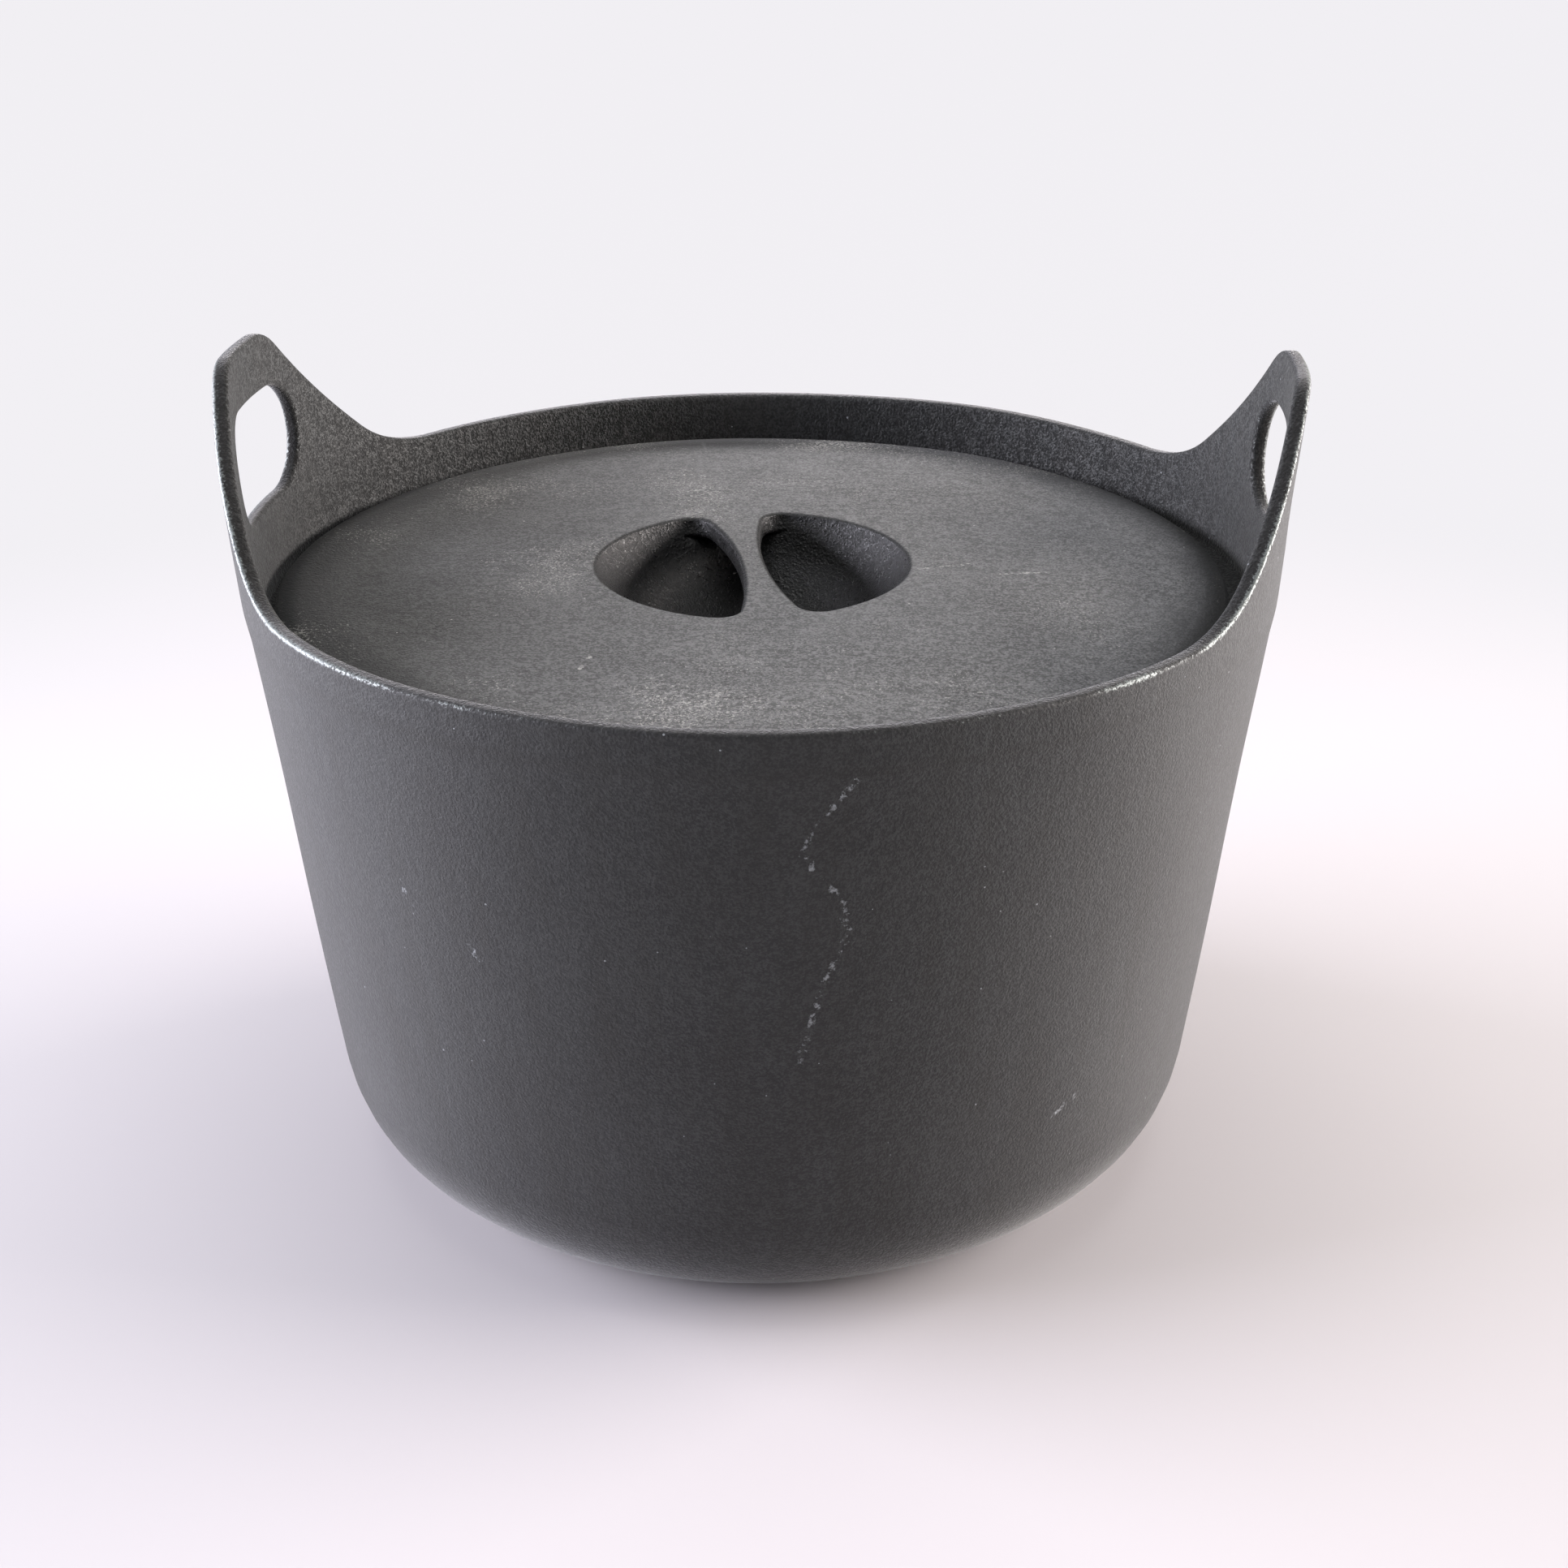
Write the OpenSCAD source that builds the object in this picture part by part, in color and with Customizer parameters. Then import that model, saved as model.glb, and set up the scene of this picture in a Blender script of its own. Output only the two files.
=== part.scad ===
// Cast iron dutch oven: a flared pot with two upright ears cast in one
// piece with its wall, and a sunken lid whose grip is a bar across a bowl.
// The pot is one casting, drawn as its foot, wall, collar and ears. The lid is
// one casting too, drawn as its plate, locating lip, grip bowl and grip bar.
// The origin is the centre of the foot. +Z is up and the ears lie on X.

/* [Pot] */
// Diameter over the rim
rim_d = 240; // [220:1:260]
// Height of the rim above the foot
rim_h = 151.5; // [145:0.5:165]
// Outward slope of the wall, in degrees
wall_slope = 6.6; // [5:0.1:8]
// Outward slope of the collar and the ears, in degrees
collar_slope = 4; // [2:0.1:5]
// Height of the collar, from the rim down
collar_h = 8; // [6:0.5:10]
// Radius of the round between the foot and the wall
foot_round = 31; // [26:1:36]
// Thickness of the collar and the ears
collar_t = 3.6; // [3:0.1:4]
// Thickness of the wall below the seat
wall_t = 4.2; // [3.8:0.1:5]
// Thickness of the floor
floor_t = 5; // [4:0.1:6]

/* [Seat] */
// Height of the ledge that the lid rests on
seat_h = 136.5; // [134:0.5:138]
// Diameter of the opening inside the ledge
seat_d = 212; // [208:1:214]
// Depth of the ledge's upright inner face
seat_t = 4; // [3:0.5:6]
// Diameter inside the wall just above the ledge
recess_d = 229.2; // [228:0.1:230]

/* [Ears] */
// Height of the ears above the rim
ear_h = 41.5; // [36:0.5:46]
// Width of an ear's top, between its flank lines
ear_top_w = 32; // [28:1:36]
// Width of an ear at the rim, between its flank lines
ear_foot_w = 122; // [112:1:130]
// Radius of an ear's upper corners
ear_corner_r = 14; // [10:1:16]
// Radius of the sweep from the rim up into a flank
ear_sweep_r = 33; // [28:1:42]
// Width of the hand hole
hole_w = 48; // [44:1:52]
// Height of the hand hole
hole_h = 25.5; // [24:0.5:27]
// Radius of the hand hole's corners
hole_r = 12; // [10:0.5:12]
// Height of the hand hole's lower edge above the rim
hole_lift = 3.5; // [2.5:0.5:5]

/* [Lid] */
// Diameter of the lid
lid_d = 221; // [218:1:223]
// Thickness of the lid
lid_t = 4.5; // [4:0.1:6]
// How much higher the middle of the lid is than its edge
lid_crown = 3; // [1:0.1:4]
// Diameter outside the locating lip under the lid
lip_d = 207; // [204:1:207]
// Depth of the locating lip
lip_h = 5; // [3:0.5:7]
// Thickness of the locating lip
lip_t = 4; // [3:0.5:5]
// Diameter of the grip bowl where it meets the lid's top
bowl_d = 73; // [68:1:78]
// Depth of the grip bowl
bowl_depth = 26; // [22:1:30]
// Thickness of the grip bowl's wall
bowl_t = 4; // [3.5:0.1:5]
// Width of the bar across the bowl at its waist
bar_w = 6; // [5:0.5:9]
// Radius of the bar's waisted sides
bar_side_r = 125; // [100:5:150]
// Radius of the corners where the bar meets the lid
pocket_corner_r = 5; // [3:0.5:6]
// Turn of the lid in its seat, in degrees
lid_turn = 12.6; // [-45:0.1:45]
// Distance that the lid lies off centre in its seat, towards -X
lid_shift = 1.9; // [0:0.1:2]

/* [Hidden] */
$fn = 180;

rim_r = rim_d / 2;
ear_top_h = rim_h + ear_h;
air = 10;                          // how far a cutting shape runs past a face
collar_drop = 2;                   // height of the soft step under the collar
collar_low_h = rim_h - collar_h;
wall_top_h = collar_low_h - collar_drop;

// Radius outside the wall, and outside the collar, at height z
function wall_r(z) = rim_r - (rim_h - z) * tan(wall_slope);
function collar_r(z) = rim_r - (rim_h - z) * tan(collar_slope);

inner_round = foot_round - wall_t;
inner_round_h = floor_t + inner_round;
foot_flat_r = wall_r(foot_round) - foot_round / cos(wall_slope);
wall_inset = wall_t / cos(wall_slope);
collar_inset = collar_t / cos(collar_slope);
floor_flat_r = wall_r(inner_round_h) - wall_inset - inner_round / cos(wall_slope);
ledge_low_h = seat_h - seat_t;
// The ledge's underside slopes back to the wall at 45 degrees
ledge_out = wall_r(ledge_low_h) - wall_inset - seat_d / 2;
ledge_root_h = ledge_low_h - ledge_out / (1 + tan(wall_slope));

// Where a round of radius r, centred at c, touches the sloping wall
function wall_touch(c, r) = c + r * [cos(wall_slope), -sin(wall_slope)];

module pot_outside() {
    centre = [foot_flat_r, foot_round];
    union() {
        polygon([
            [0, 0], [foot_flat_r, 0], centre, wall_touch(centre, foot_round),
            [wall_r(wall_top_h), wall_top_h], [collar_r(collar_low_h), collar_low_h],
            [collar_r(ear_top_h + air), ear_top_h + air], [0, ear_top_h + air]
        ]);
        translate(centre) circle(foot_round);
    }
}

module pot_inside() {
    centre = [floor_flat_r, inner_round_h];
    union() {
        polygon([
            [0, floor_t], [floor_flat_r, floor_t], centre, wall_touch(centre, inner_round),
            [wall_r(ledge_root_h) - wall_inset, ledge_root_h],
            [seat_d / 2, ledge_low_h], [seat_d / 2, seat_h], [recess_d / 2, seat_h],
            [collar_r(collar_low_h) - collar_inset, collar_low_h],
            [collar_r(ear_top_h + 2 * air) - collar_inset, ear_top_h + 2 * air],
            [0, ear_top_h + 2 * air]
        ]);
        translate(centre) circle(inner_round);
    }
}

// Points on an arc round centre c, from angle a0 to angle a1
function arc(c, r, a0, a1, n) =
    [for (i = [0:n]) c + r * [cos(a0 + (a1 - a0) * i / n), sin(a0 + (a1 - a0) * i / n)]];

// An ear seen along X, with the rim along the first axis
module ear_outline() {
    flank = atan2(ear_h, (ear_foot_w - ear_top_w) / 2);
    top_centre = [ear_top_w / 2 - ear_corner_r * tan(flank / 2), ear_h - ear_corner_r];
    sweep_centre = [ear_foot_w / 2 + ear_sweep_r * tan(flank / 2), ear_sweep_r];
    half = concat(
        [[sweep_centre.x, -air]],
        arc(sweep_centre, ear_sweep_r, 270, 270 - flank, 8),
        arc(top_centre, ear_corner_r, 90 - flank, 90, 8)
    );
    polygon(concat(half, [for (i = [len(half) - 1:-1:0]) [-half[i].x, half[i].y]]));
}

module hand_hole() {
    union() {
        square([hole_w, hole_h - 2 * hole_r], center = true);
        square([hole_w - 2 * hole_r, hole_h], center = true);
        for (side = [-1, 1], end = [-1, 1])
            translate([side * (hole_w / 2 - hole_r), end * (hole_h / 2 - hole_r)]) circle(hole_r);
    }
}

// A flat shape drawn in Y and Z, run along X through the whole pot
module along_x() {
    rotate([90, 0, 90]) linear_extrude(height = rim_d + 4 * air, center = true) children();
}

// The wall and the floor, turned about the pot's axis and still uncut on top
module turned_body() {
    rotate_extrude() difference() {
        pot_outside();
        pot_inside();
    }
}

// The part of a shape that lies between two heights
module between(low, high) {
    reach = rim_r + 2 * air;
    intersection() {
        children();
        translate([-reach, -reach, low]) cube([2 * reach, 2 * reach, high - low]);
    }
}

module pot_foot() {
    color([0.2, 0.2, 0.21]) between(-air, foot_round) turned_body();
}

module pot_wall() {
    color([0.15, 0.15, 0.16]) between(foot_round, ledge_root_h) turned_body();
}

// The collar, with the ledge for the lid inside it
module pot_collar() {
    color([0.2, 0.2, 0.21]) between(ledge_root_h, rim_h) turned_body();
}

// An ear: the wall above the rim, cut to the ear's outline and its hand hole.
// side is 1 for the ear on +X and -1 for the ear on -X
module pot_ear(side) {
    reach = rim_d;
    color([0.25, 0.25, 0.26])
    intersection() {
        difference() {
            between(rim_h, ear_top_h + air) turned_body();
            translate([0, 0, rim_h]) along_x() difference() {
                translate([-rim_r - air, 0]) square([rim_d + 2 * air, ear_h + 2 * air]);
                ear_outline();
            }
            translate([0, 0, rim_h + hole_lift + hole_h / 2]) along_x() hand_hole();
        }
        translate([side * reach / 2, 0, rim_h]) cube([reach, 2 * reach, reach], center = true);
    }
}

lid_r = lid_d / 2;
lid_top_h = seat_h + lid_t + lid_crown;
bowl_r = ((bowl_d / 2) ^ 2 + bowl_depth ^ 2) / (2 * bowl_depth);
bowl_centre_h = lid_top_h - bowl_depth + bowl_r;
bar_low_h = lid_top_h - lid_t;
crown_steps = 12;
lid_edge_cut = 0.8;                // the small bevel round the lid's upper edge
hub_rim = 4.5;                     // width of plate that is drawn with the bowl
hub_r = bowl_d / 2 + hub_rim;

// Height of the lid's underside at radius r: a shallow even crown
function lid_low(r) = seat_h + lid_crown * (1 - (r / lid_r) ^ 2);

// The whole lid's plate, without its grip
module plate() {
    radii = [for (i = [0:crown_steps]) i * (lid_r - lid_edge_cut) / crown_steps];
    top = [for (r = radii) [r, lid_low(r) + lid_t]];
    under = [for (i = [crown_steps:-1:0]) [radii[i], lid_low(radii[i])]];
    rotate_extrude()
        polygon(concat(top, [[lid_r, seat_h + lid_t - lid_edge_cut], [lid_r, seat_h]], under));
}

// The bowl's outer wall, up to the middle of the lid's thickness
module bowl_outside() {
    intersection() {
        bowl_sphere(bowl_r + bowl_t);
        cylinder(h = bar_low_h + lid_t / 2, r = hub_r);
    }
}

// The pocket on the +X side of the bar. Its inner side is the bar's waisted
// side and its ends are rounded. Its outer side runs past the bowl's mouth.
module pocket() {
    mouth_r = bowl_d / 2;
    side_centre = [bar_w / 2 + bar_side_r, 0];
    to_mouth = mouth_r - pocket_corner_r;
    to_side = bar_side_r - pocket_corner_r;
    cx = (to_mouth ^ 2 - to_side ^ 2 + side_centre.x ^ 2) / (2 * side_centre.x);
    cy = sqrt(to_mouth ^ 2 - cx ^ 2);
    // Where the corner leaves the bar's side, and where it meets the mouth
    side_angle = atan2(cy, cx - side_centre.x);
    mouth_angle = atan2(cy, cx);
    upper = concat(
        arc(side_centre, bar_side_r, 180, side_angle, 6),
        arc([cx, cy], pocket_corner_r, side_angle, mouth_angle, 8),
        arc([0, 0], mouth_r + air, mouth_angle, 0, 6)
    );
    polygon(concat(upper, [for (i = [len(upper) - 2:-1:1]) [upper[i].x, -upper[i].y]]));
}

// The lid's parts are drawn round the lid's own middle, then turned and
// shifted together to where the lid lies in its seat
module seated() {
    translate([-lid_shift, 0, 0]) rotate([0, 0, lid_turn]) children();
}

module bowl_sphere(r) {
    translate([0, 0, bowl_centre_h]) sphere(r);
}

// A shape that the lid's plate is split along, round its grip bowl
module hub() {
    cylinder(h = lid_top_h + air, r = hub_r);
}

module lid_plate() {
    color([0.3, 0.3, 0.31])
    seated() difference() {
        plate();
        hub();
    }
}

// The ring under the lid that keeps it inside the ledge
module locating_lip() {
    root_h = lid_low(lip_d / 2 - lip_t);
    color([0.36, 0.36, 0.37])
    seated() difference() {
        translate([0, 0, seat_h - lip_h]) rotate_extrude()
            translate([lip_d / 2 - lip_t, 0]) square([lip_t, root_h - seat_h + lip_h]);
        plate();
    }
}

module grip_bowl() {
    color([0.36, 0.36, 0.37])
    seated() difference() {
        union() {
            intersection() {
                plate();
                hub();
            }
            bowl_outside();
        }
        bowl_sphere(bowl_r);
    }
}

module grip_bar() {
    color([0.42, 0.42, 0.43])
    seated() intersection() {
        plate();
        bowl_sphere(bowl_r);
        translate([0, 0, bar_low_h]) linear_extrude(height = bowl_r) difference() {
            circle(bowl_r + air);
            pocket();
            mirror([1, 0]) pocket();
        }
    }
}

pot_foot();
pot_wall();
pot_collar();
pot_ear(-1);  // pot_ear_left
pot_ear(1);  // pot_ear_right
lid_plate();
locating_lip();
grip_bowl();
grip_bar();
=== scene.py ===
import math

import bmesh
import bpy
import numpy as np
from mathutils import Matrix, Vector


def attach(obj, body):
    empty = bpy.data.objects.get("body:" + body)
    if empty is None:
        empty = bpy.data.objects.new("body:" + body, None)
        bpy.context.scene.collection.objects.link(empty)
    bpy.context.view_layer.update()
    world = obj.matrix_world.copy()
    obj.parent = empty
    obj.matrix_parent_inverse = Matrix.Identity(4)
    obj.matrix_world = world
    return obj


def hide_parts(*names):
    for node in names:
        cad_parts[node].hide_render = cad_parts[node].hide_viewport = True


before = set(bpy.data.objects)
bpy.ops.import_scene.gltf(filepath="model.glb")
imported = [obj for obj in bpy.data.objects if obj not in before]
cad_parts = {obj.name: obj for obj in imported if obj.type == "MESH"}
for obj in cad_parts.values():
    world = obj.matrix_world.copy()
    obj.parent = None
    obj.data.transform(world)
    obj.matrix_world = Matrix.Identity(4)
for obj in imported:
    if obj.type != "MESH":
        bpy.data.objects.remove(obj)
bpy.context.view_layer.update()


# ---------------------------------------------------------------- camera
# A long lens, a little above the pot and turned slightly towards its -X ear.
CAMERA_PLACE = (0.0490, -0.5344, 0.3332)
CAMERA_TURN = -0.0816       # radians from +Y towards +X
CAMERA_TILT = 0.4315        # radians below the horizon
CAMERA_ROLL = -0.0048
CAMERA_LENS = 55.36         # mm
CAMERA_SENSOR = 36.0        # mm
CAMERA_NEAR = 0.01          # m, the nearest thing it shows


def camera_matrix(place, turn, tilt, roll):
    """The camera's axes from its turn about Z, its tilt below level and its roll about the view."""
    level = np.array([math.cos(turn), -math.sin(turn), 0.0])
    forward = np.array([math.sin(turn), math.cos(turn), 0.0])
    ahead = math.cos(tilt) * forward - np.array([0.0, 0.0, math.sin(tilt)])
    upward = np.cross(level, ahead)
    right = math.cos(roll) * level + math.sin(roll) * upward
    up = math.cos(roll) * upward - math.sin(roll) * level
    axes = np.eye(4)
    axes[:3, 0] = right
    axes[:3, 1] = up
    axes[:3, 2] = -ahead
    axes[:3, 3] = place
    return Matrix(axes.tolist())


camera = bpy.data.objects.new("camera", bpy.data.cameras.new("camera"))
camera.data.sensor_width = CAMERA_SENSOR
camera.data.lens = CAMERA_LENS
camera.data.clip_start = CAMERA_NEAR
camera.matrix_world = camera_matrix(CAMERA_PLACE, CAMERA_TURN, CAMERA_TILT, CAMERA_ROLL)
bpy.context.scene.collection.objects.link(camera)
bpy.context.scene.camera = camera
bpy.context.scene.view_settings.view_transform = "Standard"


# ---------------------------------------------------------------- floor and light
# A pale matt floor that runs back as its own backdrop. Two large soft boxes stand low beside the
# pot, a cool one at -X and a warmer one at +X, and a weaker one hangs above. The room in front of
# the pot is dark.
FLOOR_COLOUR = "#C8C4C6"
FLOOR_ROUGH = 0.9
FLOOR_SPECULAR = 0.1
BACKDROP_COLOUR = "#F3F1F5"
UNLIT = "#000000"
FLOOR_HALF = 40.0           # m, so that its far edge is level with the horizon
SWEEP_NEAR = 0.16           # m from the pot's middle, where the floor starts to turn into backdrop
SWEEP_FAR = 0.55            # m from the pot's middle, where it is all evenly lit backdrop
SWEEP_GLOW = 0.97           # how bright the backdrop is
ROOM_COLOUR = "#F4F3F6"
ROOM_DARK = 0.02            # the room's glow in front of the pot
ROOM_BRIGHT = 0.22          # and overhead and beyond the pot
ROOM_RISE = 0.6             # how much height counts, beside distance, towards the bright part
ROOM_DIM_TO = -0.7          # between these two sums of distance and height the dark part turns
ROOM_BRIGHT_FROM = 0.3      # into the bright part
HORIZON_GLOW = 0.95         # a thin pale band all round carries the backdrop on above the floor's far edge
HORIZON_FULL = 0.08         # sine of the height up to which it is full
HORIZON_GONE = 0.15         # and at which it has faded out
SOFT_BOXES = (
    # name, place, aim, width and height, watts, colour
    ("light_above", (0.0, 0.3, 2.2), (0, 0, 0.1), (1.8, 1.8), 22.0, "#FFFFFF"),
    ("light_left", (-1.6, -0.05, 0.42), (0, 0, 0.05), (1.5, 0.78), 88.0, "#F3F2FF"),
    ("light_right", (1.6, 0.38, 0.42), (0, 0, 0.05), (1.5, 0.78), 86.0, "#FFF7F4"),
)


def linear(code):
    """An sRGB hex colour as linear RGBA. Each channel c is c / 12.92 when it is small, and otherwise
    ((c + 0.055) / 1.055) ** 2.4."""
    srgb = np.array([int(code[i:i + 2], 16) for i in (1, 3, 5)]) / 255.0
    rgb = np.where(srgb <= 0.04045, srgb / 12.92, ((srgb + 0.055) / 1.055) ** 2.4)
    return (*rgb.tolist(), 1.0)


def add(tree, kind, settings=None, inputs=None):
    """Adds one node. An input is joined where it is given a socket, or a node for its first socket, and set
    where it is given a value. Inputs that share a name go by number: a maths node takes its terms as 0, 1
    and 2, and a mix takes its share as 0, its two numbers as 2 and 3, or its two colours as 6 and 7."""
    made = tree.nodes.new("ShaderNode" + kind)
    for key, value in (settings or {}).items():
        setattr(made, key, value)
    for key, value in (inputs or {}).items():
        if isinstance(value, bpy.types.Node):
            value = value.outputs[0]
        if isinstance(value, bpy.types.NodeSocket):
            tree.links.new(value, made.inputs[key])
        else:
            made.inputs[key].default_value = value
    return made


# Settings that many nodes share
TIMES = {"operation": "MULTIPLY"}
TIMES_PLUS = {"operation": "MULTIPLY_ADD"}      # input 0 times input 1, plus input 2
SMOOTH = {"interpolation_type": "SMOOTHSTEP"}


def fresh_material(name):
    """A material with an empty node tree, and that tree."""
    made = bpy.data.materials.new(name)
    made.use_nodes = True
    made.node_tree.nodes.clear()
    return made, made.node_tree


def soft_box(name, place, aim, size, watts, colour):
    """A rectangular area light at place that faces aim."""
    lamp = bpy.data.lights.new(name, "AREA")
    lamp.shape = "RECTANGLE"
    lamp.size = size[0]
    lamp.size_y = size[1]
    lamp.energy = watts
    lamp.color = linear(colour)[:3]
    box = bpy.data.objects.new(name, lamp)
    turn = (Vector(place) - Vector(aim)).to_track_quat("Z", "Y")
    box.matrix_world = Matrix.Translation(place) @ turn.to_matrix().to_4x4()
    bpy.context.scene.collection.objects.link(box)


for box in SOFT_BOXES:
    soft_box(*box)

floor_corners = [(x * FLOOR_HALF, y * FLOOR_HALF, 0) for x, y in ((-1, -1), (1, -1), (1, 1), (-1, 1))]
floor_mesh = bpy.data.meshes.new("floor")
floor_mesh.from_pydata(floor_corners, [], [(0, 1, 2, 3)])
floor = bpy.data.objects.new("floor", floor_mesh)
bpy.context.scene.collection.objects.link(floor)

# The floor's own light takes over from the lamps' light with distance, so the backdrop is even
floor_material, tree = fresh_material("pale_matt_floor")
floor_place = add(tree, "TexCoord").outputs["Object"]
reach = add(tree, "VectorMath", {"operation": "LENGTH"}, {0: floor_place})
sweep = add(tree, "MapRange", SMOOTH, {
    "Value": reach.outputs["Value"], "From Min": SWEEP_NEAR, "From Max": SWEEP_FAR,
})
sweep_glow = add(tree, "Math", TIMES, {0: sweep, 1: SWEEP_GLOW})
lit_colour = add(tree, "Mix", {"data_type": "RGBA"}, {
    0: sweep, 6: linear(FLOOR_COLOUR), 7: linear(UNLIT),
})
floor_shade = add(tree, "BsdfPrincipled", None, {
    "Base Color": lit_colour.outputs[2],
    "Roughness": FLOOR_ROUGH,
    "Specular IOR Level": FLOOR_SPECULAR,
    "Emission Color": linear(BACKDROP_COLOUR),
    "Emission Strength": sweep_glow,
})
add(tree, "OutputMaterial", None, {"Surface": floor_shade})
floor_mesh.materials.append(floor_material)

room = bpy.data.worlds.new("room")
bpy.context.scene.world = room
room.use_nodes = True
tree = room.node_tree
tree.nodes.clear()
facing = add(tree, "TexCoord").outputs["Generated"]
facing = add(tree, "SeparateXYZ", None, {"Vector": facing})
towards_bright = add(tree, "Math", TIMES_PLUS, {
    0: facing.outputs["Z"], 1: ROOM_RISE, 2: facing.outputs["Y"],
})
room_level = add(tree, "MapRange", SMOOTH, {
    "Value": towards_bright,
    "From Min": ROOM_DIM_TO, "From Max": ROOM_BRIGHT_FROM,
    "To Min": ROOM_DARK, "To Max": ROOM_BRIGHT,
})
horizon = add(tree, "MapRange", SMOOTH, {
    "Value": facing.outputs["Z"],
    "From Min": HORIZON_FULL, "From Max": HORIZON_GONE, "To Min": HORIZON_GLOW, "To Max": 0.0,
})
room_level = add(tree, "Math", {"operation": "MAXIMUM"}, {0: room_level, 1: horizon})
room_glow = add(tree, "Background", None, {"Color": linear(ROOM_COLOUR), "Strength": room_level})
add(tree, "OutputWorld", None, {"Surface": room_glow})


# ---------------------------------------------------------------- the pot
# One sand casting of grey iron: a flared wall on a flat foot, two upright ears with a hand hole
# each, and a ledge inside that the lid rests on. Its foot is ground flat and the rest is as cast.
MM = 0.001                  # m. The castings are drawn in millimetres and radians
RIM_R = 120.0
RIM_H = 151.5
WALL_SLOPE = math.radians(6.6)
COLLAR_SLOPE = math.radians(4.0)
COLLAR_H = 8.0              # the steeper top of the wall, from the rim down
COLLAR_STEP = 6.0           # height over which the collar runs out into the wall
COLLAR_ROUND = 30.0         # the rounds that soften it
COLLAR_T = 3.6
WALL_T = 4.2
FLOOR_T = 5.0
FOOT_ROUND = 31.0           # the round from the wall to the foot
SEAT_H = 136.5              # the ledge that the lid rests on
SEAT_R = 106.0              # its inner edge
SEAT_T = 4.0
SEAT_ROUND = 0.8
SEAT_ROOT_ROUND = 3.0       # where the ledge's underside meets the wall
RECESS_R = 114.6            # inside the wall at the ledge
RECESS_ROUND = 0.5
EAR_H = 41.5                # above the rim
EAR_TOP_HALF = 16.0         # half the width of an ear's flat top
EAR_FOOT_HALF = 61.0        # half its width where its straight flanks would meet the rim
EAR_CORNER_R = 14.0
EAR_SWEEP_R = 33.0
HOLE_W = 48.0
HOLE_H = 25.5
HOLE_R = 12.0               # its corners
HOLE_LIFT = 3.5             # its lower edge above the rim
EDGE_R = 1.0                # the worn round on the rim and the ears' edges
HOLE_EDGE_R = 1.3           # the worn round on the hand holes' edges
UNEVEN = 0.14               # how far the mould's slow waves move the surface
UNEVEN_WAVES = np.array((   # radians of each wave for each mm along X, Y and Z
    (0.10, 0.04, 0.07),
    (-0.05, 0.09, 0.05),
    (0.06, -0.05, 0.11),
))
UNEVEN_TRUE = 20.0          # height over which the waves fade out towards the ground foot

BAND_LOW = RIM_H - 6.0      # above this height the wall is drawn as the ears' band
AROUND = 384                # columns round the pot
EAR_HALF = 19               # columns each side of an ear's middle that its hand hole's block takes
BAND_ROWS = 14
HOLE_RINGS = 12
HOLE_CROWDING = 1.3         # above 1, the rings crowd towards the hole
EDGE_STEPS = 4              # facets across each rounded edge
TOP_PASSES = 6              # enough for the height of the ears' top to settle
FINE = 600                  # points along an outline that rays are read off
JOIN_WITHIN = 2e-6          # m
FAR_FROM_EDGE = 9.0         # stands for a point that nothing rubs


def outside_r(z):
    """Radius outside the collar and the ears at height z: a cone through the rim."""
    return RIM_R - (RIM_H - z) * math.tan(COLLAR_SLOPE)


def wall_r(z):
    """Radius outside the wall below the collar at height z: a steeper cone through the rim."""
    return RIM_R - (RIM_H - z) * math.tan(WALL_SLOPE)


def rounded_path(corners, turn_step=9.0, longest=4.0):
    """Points along straight runs whose corners are rounded. Each corner is (x, y, radius). A round is an arc
    that touches both runs. The points between two rounds crowd together towards the ends, as half a
    cosine does."""
    place = np.array([c[:2] for c in corners], float)
    path = [place[:1]]
    for i in range(1, len(corners)):
        if i + 1 < len(corners):
            into = (place[i] - place[i - 1]) / np.linalg.norm(place[i] - place[i - 1])
            out = (place[i + 1] - place[i]) / np.linalg.norm(place[i + 1] - place[i])
            turn = math.atan2(into[0] * out[1] - into[1] * out[0], into @ out)
            reach = corners[i][2] * math.tan(abs(turn) / 2)
            side = np.array([-into[1], into[0]]) * math.copysign(1, turn)
            centre = place[i] - into * reach + side * corners[i][2]
            steps = max(2, math.ceil(math.degrees(abs(turn)) / turn_step))
            angle = np.linspace(0, turn, steps + 1)[:, None]
            spoke = -side * np.cos(angle) + np.array([side[1], -side[0]]) * np.sin(angle)
            arc = centre + corners[i][2] * spoke
        else:
            arc = place[i:]
        gap = np.linalg.norm(arc[0] - path[-1][-1])
        count = max(2, math.ceil(gap / longest) + 1)
        share = (0.5 - 0.5 * np.cos(np.linspace(0, math.pi, count + 1)[1:-1]))[:, None]
        path.append(path[-1][-1] * (1 - share) + arc[0] * share)
        path.append(arc)
    return np.concatenate(path)


def turned(path, angles):
    """A profile of (radius, height) points turned about Z. Rows follow the profile, columns the angles."""
    r, z = path[:, 0:1], path[:, 1:2]
    return np.stack([r * np.cos(angles), r * np.sin(angles), z + 0 * angles], -1)


def loop_direction(points, centre, angles):
    """Where rays from centre at these angles meet a closed outline that the centre sees all of: the outline
    is ordered by its own angle round the centre and read off between its points."""
    off = points - centre
    own = np.mod(np.arctan2(off[:, 1], off[:, 0]), 2 * math.pi)
    order = np.argsort(own)
    wanted = np.mod(angles, 2 * math.pi)
    x = np.interp(wanted, own[order], points[order, 0], period=2 * math.pi)
    y = np.interp(wanted, own[order], points[order, 1], period=2 * math.pi)
    return np.stack([x, y], -1)


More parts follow.
